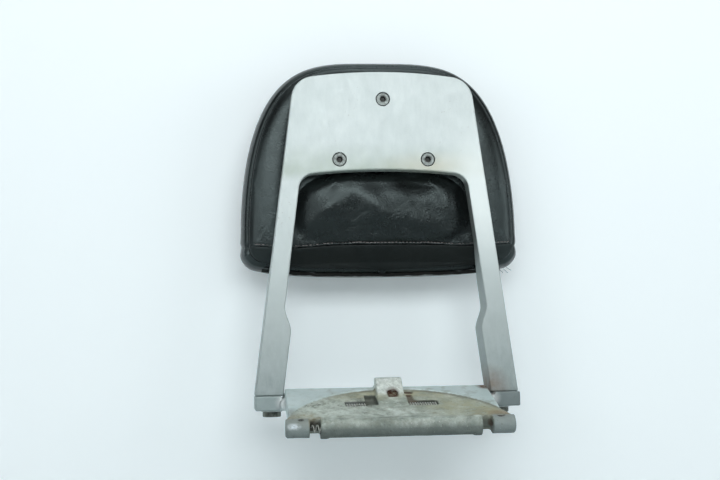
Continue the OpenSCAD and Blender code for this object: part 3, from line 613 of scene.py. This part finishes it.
def roughen(mesh):
    """Cast skin: broad unevenness, lumps on the half-moon and a few dents."""
    # (place, reach, depth) of each dent, the last two in millimetres
    dents = [
        (D(92.5, 3, 8.5), 3.2, 1.6), (D(-92, 1, 8.7), 2.6, 1.2),
        (D(98, 11, 8), 3.0, 1.0), (D(-60, 20, 7), 3.0, 0.7), (D(-48, 33, 7), 2.4, 0.8),
    ]
    coords, normals = coords_and_normals(mesh)
    for i, p in enumerate(coords):
        place_mm = Vector(p)
        p = place_mm / MM
        y, z = p.y * COS + p.z * SIN, -p.y * SIN + p.z * COS
        on_moon = 1.0 if z > 4 and 5 < y < 84 and abs(p.x) < 104 - y * 0.4 else 0.35
        amount = 0.16 * noise.noise(p * 0.11) + 0.20 * on_moon * noise.noise(p * 0.34 + Vector((9, 3, 1)))
        amount += 0.09 * on_moon * noise.noise(p * 0.8)
        if on_moon == 1.0 and p.x < -20:
            amount += 0.28 * max(0.0, noise.noise(p * 0.26 + Vector((4, 4, 4))))
        for place, reach, depth in dents:
            d = (place_mm - place).length / MM
            if d < reach * 2:
                amount -= depth * math.exp(-(d / reach) ** 2 * 1.6)
        coords[i] += normals[i] * amount * MM
    mesh.vertices.foreach_set("co", coords.ravel())
    mesh.update()


def coil(name, node, outer_d, wire, pitch, length, start):
    """A coil spring along X from start in the deck's system. All lengths are in millimetres."""
    points_a_turn = 20
    r = (outer_d - wire) / 2
    travel = length - wire
    turns = travel / pitch
    steps = int(turns * points_a_turn)
    points = []
    for i in range(steps + 1):
        a = 2 * math.pi * turns * i / steps
        x = start[0] + wire / 2 + travel * i / steps
        points.append(D(x, start[1] + r * math.cos(a), start[2] + r * math.sin(a)))
    piece(name, tube(name, points, wire / 2 * MM, 7), "spring", (node,))


def small_metal():
    for side in ("top", "left", "right"):
        name = "cushion_screw_dressed_" + side
        bevelled(name, "cushion_screw_" + side, 0.55, "screw", 2, 50)
        dress("tee_nut_" + side, "zinc")
    for side in ("left", "right"):
        bevelled("foot_bolt_dressed_" + side, "foot_bolt_" + side, 0.9, "bolt", 2, 50)
        bevelled("foot_washer_dressed_" + side, "foot_washer_" + side, 0.3, "zinc", 2, 50)
    deck_top, slot_depth, gap, latch_d = 8.0, 8.4, 0.3, 6
    z = deck_top - slot_depth + latch_d / 2 + gap
    coil("latch_coil_left", "latch_spring_left", latch_d, 1.2, 2.4, 19, (-46, 49, z))
    coil("latch_coil_right", "latch_spring_right", latch_d, 1.2, 2.4, 27, (14.5, 49, z))
    coil("rim_coil", "rim_spring", 7.4, 1.2, 4.6, 22, (-82.8, 0, 0))


# The cushion

# Millimetres in the backrest frame's system: the cushion's outline, the depths of its back, its two
# round seams and its front, and the height of its cross seam
HALF_W, TOP_Z, WIDE_Z, LOW_Z, CORNER_R = 141.0, 337.0, 154.0, 117.0, 17.0
PAD_BACK, REAR_Y, FRONT_Y, PAD_FRONT = 18.3, 31.6, 66.3, 86.0
CROSS_Z = 148.0
# Where the rings of the back and the front close, and how far the front is crowned there
BACK_POLE_Z, FRONT_POLE_Z, CROWN = 252.0, 228.0, 2.5
# The frame's window: its half width at a height of WIDTH_Z, its middle and its half height. LEAN is how
# much its sides and the arms lean in for each millimetre of height
WINDOW_HALF_W, WIDTH_Z, WINDOW_Z, WINDOW_HALF_H, LEAN = 86.0, 184.0, 184.2, 36.2, 0.1315
# How far the back stands out through the window, and the most that the simulation moves a point
WINDOW_SWELL, SWELL_CAP = 8.0, 4.0
# Points round each ring, before the mesh is made finer
AROUND = 264


def pad_outline(inset):
    """Closed outline at an inset, from the bottom middle, evenly spaced, as (x, z)."""
    w, low = HALF_W - inset, LOW_Z + inset
    r = max(CORNER_R - inset * 0.3, 6)
    rise = 7
    corner_z = low + rise + r
    high = TOP_Z - inset
    wide = max(WIDE_Z, corner_z + 2)
    half = [((w - r) * t, low + rise * t ** 3 * 0.8) for t in np.linspace(0, 0.9, 40)]
    for a in np.radians(np.linspace(-80, 0, 24)):
        half.append((w - r + r * math.cos(a), corner_z + r * math.sin(a)))
    steps, side_power, top_power = 160, 3.8, 2.2
    for i in range(1, steps + 1):
        a = math.pi / 2 * i / steps
        x = w * max(math.cos(a), 0) ** (2 / side_power)
        half.append((x, wide + (high - wide) * math.sin(a) ** (2 / top_power)))
    half = np.array(half)
    ring = np.vstack([half, (half * [-1, 1])[-2:0:-1]])
    loop = np.vstack([ring, ring[:1]])
    length = np.r_[0, np.cumsum(np.hypot(*np.diff(loop, axis=0).T))]
    t = np.linspace(0, length[-1], AROUND, endpoint=False)
    return np.c_[np.interp(t, length, loop[:, 0]), np.interp(t, length, loop[:, 1])]


def outline_x(z, inset):
    """Half width of the cushion's outline at height z."""
    ring = pad_outline(inset)
    right = ring[ring[:, 0] > 0]
    order = np.argsort(right[:, 1])
    return float(np.interp(z, right[order, 1], right[order, 0]))


def cross_line(x):
    """Height of the hand-guided cross seam at x: it dips beside the arms."""
    left, right = math.exp(-((x + 92) / 32) ** 2), math.exp(-((x - 84) / 36) ** 2)
    return CROSS_Z - 0.6 - 3.0 * left - 1.6 * right


def band_y(x, z):
    """Depth of the slanted band below the cross seam."""
    line, top_y, slant = cross_line(x), 18.8, 16.1
    return top_y + slant * (line - z) / (line - LOW_Z)


def window_push(x, z):
    """How far the back swells through the window, 0 to 1: steep at the frame, fullest above the middle."""
    half_w = WINDOW_HALF_W - LEAN * (z - WIDTH_Z)
    u, v = abs(x) / half_w, abs(z - WINDOW_Z) / WINDOW_HALF_H
    power = 3.4
    d = (u ** power + v ** power) ** (1 / power)
    if d >= 1:
        return 0.0
    flank = math.sin(math.pi / 2 * min((1 - d) / 0.26, 1.0))
    high = min(max((z - 150.0) / 44.0, 0.0), 1.0)
    return flank * (0.62 + 0.38 * high * high * (3 - 2 * high))


def under_plate(x, z):
    """True where the rigid frame lies against the cushion's back."""
    arm_outside, plate_top, plate_low, arm_w = 129.8 - LEAN * z, 316, 219, 19.5
    if abs(x) > arm_outside - 1 or z > plate_top:
        return False
    return z > plate_low or abs(x) > arm_outside - arm_w


def shell_rings():
    """(outline, depth, groove) for every ring of the closed cushion, back middle to front middle."""
    rings = []
    back_inset, front_inset, roll, power = 30, 60, 13.3, 3.4
    # The flat back, its roll down to the rear seam, and that seam's groove
    base = pad_outline(back_inset)
    centre = np.array([0.0, BACK_POLE_Z])
    for s in np.linspace(0.05, 1.0, 24):
        rings.append((centre + (base - centre) * s, PAD_BACK, 0))
    for inset in (28, 26, 24, 22, 20, 18, 16, 14, 12.5, 11, 9.8, 8.8, 8.0):
        u = (28 - inset) / 21
        rings.append((pad_outline(inset), REAR_Y - roll * (1 - u ** power) ** (1 / power), 0))
    rings.append((pad_outline(8.9), REAR_Y - 0.6, 1))
    rings.append((pad_outline(7.9), REAR_Y + 0.6, 1))
    # The boxing, fullest between the two seams, and the front seam's groove
    for y in np.linspace(REAR_Y + 1.4, FRONT_Y - 1.4, 13):
        u = (y - 50) / 19
        rings.append((pad_outline(5.6 * abs(u) ** 2.4 if u < 0 else 2.6 * u ** 2.2), y, 0))
    rings.append((pad_outline(4.4), FRONT_Y - 0.5, 1))
    rings.append((pad_outline(5.4), FRONT_Y + 0.7, 1))
    # The front's round edge and its crowned face
    for inset in (4.2, 5.6, 8, 11, 15, 20, 26, 33, 41, 50, 60):
        u = min((front_inset - inset) / 57, 1)
        depth = FRONT_Y + 1 + (PAD_FRONT - FRONT_Y - 1) * (1 - u ** 2.6) ** (1 / 2.0)
        rings.append((pad_outline(inset), depth, 0))
    last = pad_outline(front_inset)
    centre = np.array([0.0, FRONT_POLE_Z])
    for s in np.linspace(0.93, 0.06, 14):
        rings.append((centre + (last - centre) * s, PAD_FRONT + CROWN * (1 - s * s), 0))
    return rings


def grid_mesh(name, grid, back_pole, front_pole):
    """Closed mesh over rings of points, with a pole at either end."""
    rings, around = grid.shape[:2]
    faces = []
    for i in range(rings - 1):
        for k in range(around):
            m = (k + 1) % around
            faces.append((i * around + k, i * around + m, (i + 1) * around + m, (i + 1) * around + k))
    last = (rings - 1) * around
    count = rings * around
    for k in range(around):
        m = (k + 1) % around
        faces.append((count, m, k))
        faces.append((count + 1, last + k, last + m))
    verts = np.vstack([grid.reshape(-1, 3), back_pole, front_pole])
    return from_data(name, verts, faces)


def finer(grid):
    """Doubles a grid of rings both ways on smooth curves through its points."""
    def between(a, b, c, d):
        return (9 * (b + c) - a - d) / 16
    around = between(np.roll(grid, 1, 1), grid, np.roll(grid, -1, 1), np.roll(grid, -2, 1))
    wide = np.stack([grid, around], axis=2).reshape(grid.shape[0], -1, 3)
    padded = np.vstack([wide[:1], wide, wide[-1:]])
    mids = between(padded[:-3], padded[1:-2], padded[2:-1], padded[3:])
    out = np.empty((2 * len(wide) - 1,) + wide.shape[1:])
    out[0::2] = wide
    out[1::2] = mids
    return out


def cushion_shell():
    """The whole cushion as one closed form, pinned at its seams and swollen between them."""
    rings = shell_rings()
    verts, pinned = [], []
    for outline, depth, groove in rings:
        for x, z in outline:
            y = depth
            back = depth < REAR_Y
            if back:
                y -= WINDOW_SWELL * window_push(x, z)
                if z < cross_line(x):
                    y = max(y, band_y(x, z))
                y += 1.3 * math.exp(-((z - cross_line(x)) / 1.8) ** 2)
            verts.append(F(x, y, z)[:])
            seam = groove or (back and z < cross_line(x) + 2.5)
            pinned.append(bool(seam or (back and under_plate(x, z))))
    grid = np.array(verts).reshape(len(rings), AROUND, 3)
    poles = np.array([F(0, PAD_BACK, BACK_POLE_Z)[:], F(0, PAD_FRONT + CROWN, FRONT_POLE_Z)[:]])
    pinned += [True, False]
    moved = swell(grid_mesh("swelling", grid, *poles), pinned)
    grid += moved[:-2].reshape(grid.shape)
    poles += moved[-2:]
    mesh = grid_mesh("cushion_cover", finer(grid), *poles)
    obj = piece("cushion_cover", mesh, "leather",
                ("cover_back_panel", "cover_side_panel", "cover_front_panel", "foam_core", "rear_foam"), None)
    crumple(obj)
    smooth_all(obj)
    return obj


def swell(mesh, pinned):
    """Air pressure fills the cover between its pinned seams. Returns each point's capped movement."""
    obj = bpy.data.objects.new(mesh.name, mesh)
    bpy.context.collection.objects.link(obj)
    start = coords_and_normals(mesh)[0]
    group = obj.vertex_groups.new(name="pin")
    for i, fixed in enumerate(pinned):
        group.add([i], 1.0 if fixed else 0.02, "REPLACE")
    cloth = obj.modifiers.new("cloth", "CLOTH")
    cloth.settings.quality = 4
    cloth.settings.mass = 0.4
    cloth.settings.tension_stiffness = 12
    cloth.settings.compression_stiffness = 12
    cloth.settings.bending_stiffness = 0.8
    cloth.settings.shrink_min = 0.0
    cloth.settings.vertex_group_mass = "pin"
    cloth.settings.use_pressure = True
    cloth.settings.uniform_pressure_force = 2.5
    cloth.settings.effector_weights.gravity = 0
    cloth.collision_settings.use_collision = False
    scene = bpy.context.scene
    last_frame = 18
    for number in range(1, last_frame + 1):
        scene.frame_set(number)
    moved = coords_and_normals(applied(obj))[0] - start
    bpy.data.objects.remove(obj)
    scene.frame_set(1)
    size = np.linalg.norm(moved, axis=1, keepdims=True)
    cap = SWELL_CAP * MM
    return moved * cap * np.tanh(size / cap) / np.maximum(size, 1e-9)


# Soft folds in the window: x, z, reach along, reach across, angle of the long side in degrees, height
MOUNDS = (
    (-58, 181, 17, 9, 48, 2.3), (-4, 182, 30, 11, -42, 2.4), (40, 168, 20, 11, -25, 2.3),
    (64, 182, 20, 11, 78, 2.3), (-30, 178, 26, 9, 75, -1.6), (31, 212, 17, 12, -8, -4.0),
    (66, 158, 8, 6, 0, 1.5), (-24, 160, 34, 9, 0, -1.0),
)


def crumple(obj):
    """Creases where sewn leather gathers: along the seams and in the window."""
    coords, normals = coords_and_normals(obj.data)
    for i, point in enumerate(coords):
        x, y, z = point[0] / MM, point[1] / MM - BACK_Y, point[2] / MM - FOOT_Z
        amount = 0.0
        push = window_push(x, z) if y < REAR_Y + 1 and z > CROSS_Z else 0.0
        if push > 0:
            near_low = math.exp(-((z - 158) / 11) ** 2)
            amount += 0.55 * near_low * noise.noise(Vector((x * 0.07, z * 0.20, 2)))
            amount += 0.35 * noise.noise(Vector((x * 0.045 + z * 0.02, z * 0.06, 7)))
            for at, up, long_side, short_side, angle, height in MOUNDS:
                c, s = math.cos(math.radians(angle)), math.sin(math.radians(angle))
                u = ((x - at) * c + (z - up) * s) / long_side
                v = ((z - up) * c - (x - at) * s) / short_side
                amount += min(push * 3, 1) * height * math.exp(-u * u - v * v)
        rim = math.exp(-((y - REAR_Y) / 4) ** 2)
        if rim > 0.05:
            amount += 0.18 * rim * noise.noise(Vector((x * 0.14, z * 0.14, 1)))
        # The boxing's joint beside the cross seam, and the puffed corner below it
        if abs(x) > 116 and 26 < y < 62 and z < 165:
            fade = min((abs(x) - 116) / 8, 1) * min((62 - y) / 10, 1) * min((y - 26) / 4, 1)
            below, above = math.exp(-((z - 138) / 5) ** 2), math.exp(-((z - 153) / 4) ** 2)
            amount += fade * (0.7 * below + 0.4 * above)
            amount -= fade * 0.8 * math.exp(-((z - 146 - 0.12 * (y - 30)) / 1.7) ** 2)
        coords[i] += normals[i] * amount * MM
    obj.data.vertices.foreach_set("co", coords.ravel())
    obj.data.update()


def on_shell(tree, point, out):
    """The nearest place on the cushion's cover, moved outwards by a number of millimetres."""
    place, normal = tree.find_nearest(point)[:2]
    return place + normal * out * MM


def seams(shell):
    bm = bmesh.new()
    bm.from_mesh(shell.data)
    tree = BVHTree.FromBMesh(bm)
    bm.free()
    # Welts along the rear and the front seam, each with a row of stitches beside it
    for side, inset, depth, size, beside in (
        ("rear", 7.6, REAR_Y, 0.65, -2.4), ("front", 3.4, FRONT_Y + 0.1, 1.0, 2.4),
    ):
        points = [on_shell(tree, F(x, depth, z), 0.25) for x, z in pad_outline(inset)]
        radii = [(size + 0.22 * noise.noise(p * 220)) * MM for p in points]
        name = side + "_seam_welt"
        piece(name, tube(name, points, radii, 8, True), "leather")
        line = [on_shell(tree, F(x, depth + beside, z), 0.25) for x, z in pad_outline(inset + 1.8)]
        stitches(side + "_seam_stitches", line, "black_thread", 3.6, 2.3, 0.32, True)
    # Folded edge of the back panel along the cross seam
    points, thread_line = [], []
    for x in np.linspace(-131, 131, 180):
        z = cross_line(x) + 0.9 * noise.noise(Vector((x * 0.06, 3, 1)))
        points.append(on_shell(tree, F(x, 16, z + 0.4), 0.5))
        thread_line.append(on_shell(tree, F(x, 16, z + 1.6), 0.6))
    mesh = tube("cross_seam_fold", points, 1.25 * MM, 8)
    piece("cross_seam_fold", mesh, "leather")
    stitches("cross_seam_stitches", thread_line, "pale_thread", 3.6, 3.2, 0.42, False)


def stitches(name, line, material, pitch, length, radius, closed):
    """A row of short threads along a line. Each bows out a little and thins towards its ends."""
    pts = np.array([p[:] for p in line])
    if closed:
        pts = np.vstack([pts, pts[:1]])
    run = np.r_[0, np.cumsum(np.linalg.norm(np.diff(pts, axis=0), axis=1))] / MM
    meshes = []
    for s in np.arange(pitch / 2, run[-1] - length, pitch):
        path = []
        for t in np.linspace(0, 1, 6):
            at = s + length * t
            p = Vector([np.interp(at, run, pts[:, j]) for j in range(3)])
            path.append(p + Vector((0, -1, 0)) * 0.25 * MM * math.sin(math.pi * t))
        radii = [radius * MM * (0.55 + 0.45 * math.sin(math.pi * t)) for t in np.linspace(0.05, 0.95, 6)]
        meshes.append(tube("stitch", path, radii, 6))
    piece(name, joined(name, meshes), material)


def band():
    """The band below the cross seam, its crease, and the raw wavy lip at the cushion's lower edge."""
    # (height, how far out) from the seam down to the lip
    profile = [
        (148.2, 0.1), (146.8, -0.7), (144, -1.0), (140, -0.9), (136, -0.6), (133, 0.1), (131.6, 0.5),
        (130.2, 0.0), (127.5, -0.9), (124.5, -1.1), (122, -0.7), (120.2, 0.2),
    ]
    across = 170
    rows = []
    for z, out in profile:
        reach = outline_x(z, 8.6) - 0.6
        row = []
        for i in range(across + 1):
            u = -1 + 2 * i / across
            x = reach * u
            sag = 1.4 * noise.noise(Vector((x * 0.035, 5, 5))) * (148 - z) / 28
            ripple = 0.7 * noise.noise(Vector((x * 0.06, z * 0.12, 3)))
            edge = max(0.0, abs(u) - 0.93) / 0.07
            bottom = 5.4 * abs(x / 124) ** 3 * max(0.0, (134 - z) / 14)
            height = LOW_Z + (z - LOW_Z) * (cross_line(x) - LOW_Z) / (CROSS_Z - LOW_Z)
            depth = band_y(x, height) + out - 0.9 + ripple * (1 - edge) + 1.2 * edge
            row.append(F(x, depth, height + sag * (1 - edge) + bottom * (1 - edge)))
        rows.append(row)
    mesh = sheet_mesh("cushion_band", rows)
    obj = piece("cushion_band", mesh, "band", ("cover_bottom_band",), None)
    thicken(obj, 1.6)
    lip_points, radii = [], []
    lip_steps, lip_half_w = 220, 121
    for i in range(lip_steps + 1):
        u = -1 + 2 * i / lip_steps
        x = lip_half_w * u
        wave = 1.1 * noise.noise(Vector((x * 0.055, 1, 8))) + 0.5 * noise.noise(Vector((x * 0.17, 2, 8)))
        z = 118.6 + wave + 5.2 * abs(x / 124) ** 3
        depth = band_y(x, z) + 0.6 + 0.7 * noise.noise(Vector((x * 0.1, 4, 2)))
        lip_points.append(F(x, depth, z))
        radii.append((1.7 + 0.5 * noise.noise(Vector((x * 0.12, 9, 9)))) * MM)
    mesh = tube("cushion_lip", lip_points, radii, 8)
    piece("cushion_lip", mesh, "edge", ("cover_bottom_hem",))
    frays()


def sheet_mesh(name, rows):
    """Open mesh over rows of points."""
    width = len(rows[0])
    verts = [p for row in rows for p in row]
    faces = []
    for i in range(len(rows) - 1):
        for k in range(width - 1):
            a = i * width + k
            faces.append((a, a + 1, a + width + 1, a + width))
    mesh = bpy.data.meshes.new(name)
    mesh.from_pydata([tuple(v) for v in verts], [], faces)
    return mesh


def thicken(obj, thickness):
    """Gives a sheet its thickness in millimetres and makes it finer."""
    solid = obj.modifiers.new("solid", "SOLIDIFY")
    solid.thickness = thickness * MM
    solid.offset = -1
    sub = obj.modifiers.new("finer", "SUBSURF")
    sub.levels = sub.render_levels = 1
    applied(obj)
    smooth_all(obj)


def frays():
    """Loose thread ends at the lower right corner."""
    meshes = []
    for i in range(3):
        start = F(122 + 3.2 * i, 33.5, 122 + 1.2 * i)
        lean = Vector((0.6 + 0.25 * i, -0.3, -1.0 + 0.15 * i)).normalized()
        length = (4.0 + 2.5 * ((i * 7) % 4) / 3) * MM
        path = []
        for t in np.linspace(0, 1, 8):
            wander = noise.noise(Vector((i, t * 2, 0))), 0, noise.noise(Vector((i, t * 2, 5)))
            path.append(start + lean * length * t + Vector(wander) * 1.6 * MM * t)
        meshes.append(tube("fray", path, 0.2 * MM, 5))
    piece("frayed_threads", joined("frayed_threads", meshes), "black_thread")


# Floor, backdrop and light

# How much light of its own the floor and the backdrop show to the camera, to gloss and to glass
GLOW = 0.17


def stage():
    def plane(name, corners):
        mesh = bpy.data.meshes.new(name)
        mesh.from_pydata(corners, [], [(0, 1, 2, 3)])
        obj = bpy.data.objects.new(name, mesh)
        bpy.context.collection.objects.link(obj)
        return obj

    def pale(name, shade, see_through):
        """A matt material with a glow. If see_through, its back faces are clear."""
        mat = bpy.data.materials.new(name)
        mat.use_nodes = True
        nodes, links = mat.node_tree.nodes, mat.node_tree.links
        nodes.clear()
        out = nodes.new("ShaderNodeOutputMaterial")
        diffuse = nodes.new("ShaderNodeBsdfDiffuse")
        diffuse.inputs[0].default_value = (*shade, 1)
        glow = nodes.new("ShaderNodeEmission")
        glow.inputs[0].default_value = (0.87, 0.945, 0.965, 1)
        path = nodes.new("ShaderNodeLightPath")
        strength = nodes.new("ShaderNodeMath")
        strength.operation = "MULTIPLY"
        seen = path.outputs["Is Camera Ray"]
        for ray in ("Is Glossy Ray", "Is Transmission Ray"):
            either = nodes.new("ShaderNodeMath")
            either.operation = "ADD"
            either.use_clamp = True
            links.new(seen, either.inputs[0])
            links.new(path.outputs[ray], either.inputs[1])
            seen = either.outputs[0]
        links.new(seen, strength.inputs[0])
        strength.inputs[1].default_value = GLOW
        links.new(strength.outputs[0], glow.inputs[1])
        add = nodes.new("ShaderNodeAddShader")
        links.new(diffuse.outputs[0], add.inputs[0])
        links.new(glow.outputs[0], add.inputs[1])
        if see_through:
            clear = nodes.new("ShaderNodeBsdfTransparent")
            geometry = nodes.new("ShaderNodeNewGeometry")
            mix = nodes.new("ShaderNodeMixShader")
            links.new(geometry.outputs["Backfacing"], mix.inputs[0])
            links.new(add.outputs[0], mix.inputs[1])
            links.new(clear.outputs[0], mix.inputs[2])
            links.new(mix.outputs[0], out.inputs[0])
        else:
            links.new(add.outputs[0], out.inputs[0])
        return mat

    # Half the floor's side, the floor's height, and the backdrop 5 mm behind the cushion's front
    far, low, wall = 6.0, -0.095, (PAD_FRONT + BACK_Y + 5.0) * MM
    floor = plane("floor", [(-far, -far, low), (far, -far, low), (far, far, low), (-far, far, low)])
    floor.data.materials.append(pale("pale_floor", (0.50, 0.54, 0.55), False))
    back = plane("backdrop", [(-far, wall, low), (far, wall, low), (far, wall, far), (-far, wall, far)])
    back.data.materials.append(pale("pale_backdrop", (0.83, 0.89, 0.91), True))


def lights():
    world = bpy.data.worlds.new("world")
    bpy.context.scene.world = world
    world.use_nodes = True
    soft = world.node_tree.nodes["Background"]
    soft.inputs["Color"].default_value = (0.94, 0.985, 1.0, 1)
    soft.inputs["Strength"].default_value = 0.13
    # Name, place, target, width and height in metres, and power in watts
    for name, place, target, size, power in (
        ("key", (0.0, -1.60, 0.78), (0, 0.1, 0.16), (1.4, 0.62), 14.2),
        ("top", (0.0, -0.4, 1.4), (0, 0.1, 0.3), (1.4, 0.5), 6.5),
        ("fill", (-1.15, -1.35, 0.45), (0, 0.1, 0.2), (0.9, 0.9), 4.4),
        ("right", (1.4, -0.95, 0.42), (0, 0.1, 0.2), (0.8, 0.8), 4.2),
        ("behind", (0.3, 1.7, 1.1), (0, 0.1, 0.2), (1.3, 1.3), 9),
    ):
        data = bpy.data.lights.new(name, "AREA")
        data.shape = "RECTANGLE"
        data.size, data.size_y = size
        data.energy = power
        data.color = (0.96, 0.99, 1.0)
        lamp = bpy.data.objects.new(name, data)
        lamp.location = place
        lamp.rotation_euler = (Vector(target) - Vector(place)).to_track_quat("-Z", "Y").to_euler()
        bpy.context.collection.objects.link(lamp)


camera()
castings()
small_metal()
shell = cushion_shell()
seams(shell)
band()
dress("cushion_board", "wood")
stage()
lights()
bpy.context.scene.view_settings.view_transform = "Standard"
